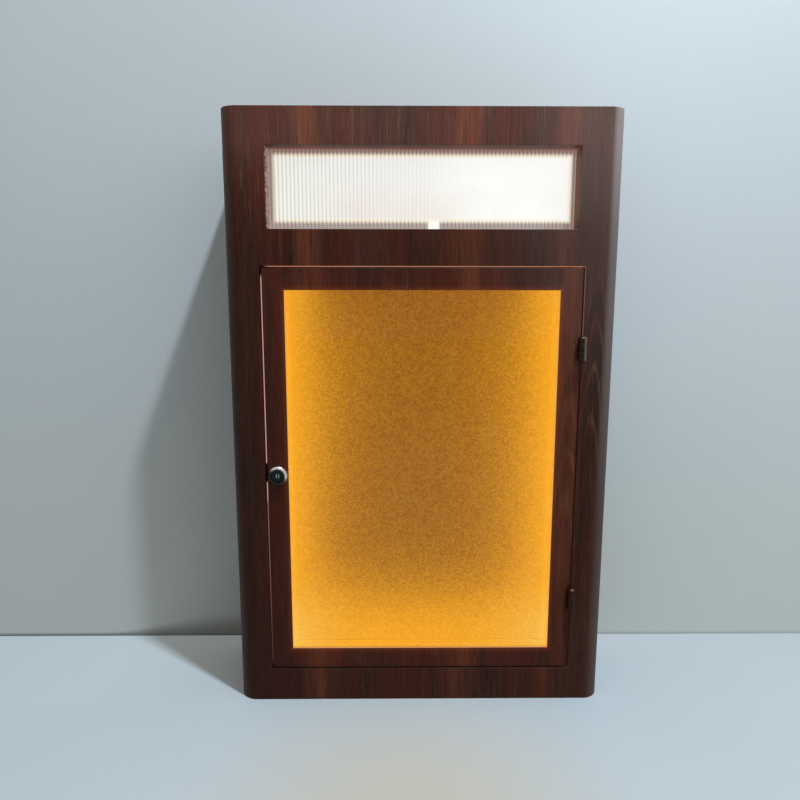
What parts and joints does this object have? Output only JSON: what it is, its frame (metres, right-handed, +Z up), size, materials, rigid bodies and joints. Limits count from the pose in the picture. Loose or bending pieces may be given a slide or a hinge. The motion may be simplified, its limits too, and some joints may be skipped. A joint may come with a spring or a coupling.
{
  "type": "illuminated display case",
  "caption": "Upright wall display case with a lit ribbed header window above a lockable glazed door, a warm-lit pin board behind it, and a screwed rear cover.",
  "frame": {"origin": "centre of the cabinet's flat base, midway between the front face and the back of the rear cover", "axes": "+Z up, the door faces -Y, +X towards the hinge side"},
  "size_m": [0.4, 0.1315, 0.626],
  "materials": {
    "wood_film": "dark red-brown wood-grain film on board, satin sheen",
    "fibreboard": "bare medium-density fibreboard",
    "beech": "bare beech",
    "hardboard": "brown hardboard",
    "ribbed_acrylic": "clear ribbed acrylic",
    "white_enamel": "white enamelled sheet",
    "header_opal": "opal acrylic, lit white",
    "warm_opal": "opal diffuser, lit warm amber",
    "led_board": "white circuit strip",
    "cork": "fine-grained cork sheet lit amber",
    "aluminium": "mill-finish extrusion",
    "white_plastic": "moulded white plastic",
    "black_pvc": "black flexible insulation",
    "black_rubber": "matt black rubber",
    "bronzed_steel": "dark bronze lacquer on steel",
    "chrome": "bright chrome plate",
    "dark_chrome": "darkened plated plug",
    "glass": "clear float glass",
    "zinc_steel": "bright zinc plate"
  },
  "bodies": {
    "cabinet": {"front_frame": "wood_film", "left_side": "wood_film", "right_side": "wood_film", "top_board": "wood_film", "bottom_board": "wood_film", "divider_shelf": "fibreboard", "carcass_dowels": "beech", "rear_cover": "hardboard", "rear_cover_screws": "zinc_steel", "hanger_plates": "zinc_steel", "hanger_screws": "zinc_steel", "cable_grommet": "black_rubber", "ribbed_panel": "ribbed_acrylic", "header_tray": "white_enamel", "header_diffuser": "header_opal", "header_led_strips": "led_board", "header_spacers": "white_plastic", "header_tray_screws": "zinc_steel", "backing_board": "fibreboard", "backing_cleats": "beech", "display_panel": "cork", "led_channel_left": "aluminium", "led_channel_right": "aluminium", "led_channel_bottom": "aluminium", "led_diffuser_left": "warm_opal", "led_diffuser_right": "warm_opal", "led_diffuser_bottom": "warm_opal", "led_strip_left": "led_board", "led_strip_right": "led_board", "led_strip_bottom": "led_board", "channel_screws": "zinc_steel", "led_driver": "white_plastic", "driver_screws": "zinc_steel", "internal_leads": "black_pvc", "door_stop_bottom": "fibreboard", "door_stop_right": "fibreboard", "door_seal": "black_rubber", "strike_plate": "zinc_steel", "strike_screws": "zinc_steel", "hinge_upper_frame_leaf": "bronzed_steel", "hinge_upper_pin": "bronzed_steel", "hinge_lower_frame_leaf": "bronzed_steel", "hinge_lower_pin": "bronzed_steel", "hinge_frame_screws": "bronzed_steel"},
    "door": {"hinge_upper_door_leaf": "bronzed_steel", "hinge_lower_door_leaf": "bronzed_steel", "hinge_door_screws": "bronzed_steel", "door_stile_left": "wood_film", "door_stile_right": "wood_film", "door_rail_top": "wood_film", "door_rail_bottom": "wood_film", "door_glass": "glass", "glazing_beads_upright": "wood_film", "glazing_beads_level": "wood_film", "lock_body": "chrome", "lock_nut": "zinc_steel"},
    "lock_core": {"lock_plug": "dark_chrome", "lock_cam": "zinc_steel", "cam_screw": "zinc_steel"}
  },
  "joints": [
    {"name": "door_swing", "type": "hinge", "parent": "cabinet", "child": "door", "pos_m": [0.163, -0.0648, 0.2555], "axis": [0, 0, 1], "range_deg": [0, 180]},
    {"name": "lock_turn", "type": "hinge", "parent": "door", "child": "lock_core", "pos_m": [-0.151, -0.06, 0.2575], "axis": [0, 1, 0], "range_deg": [0, 90]}
  ]
}
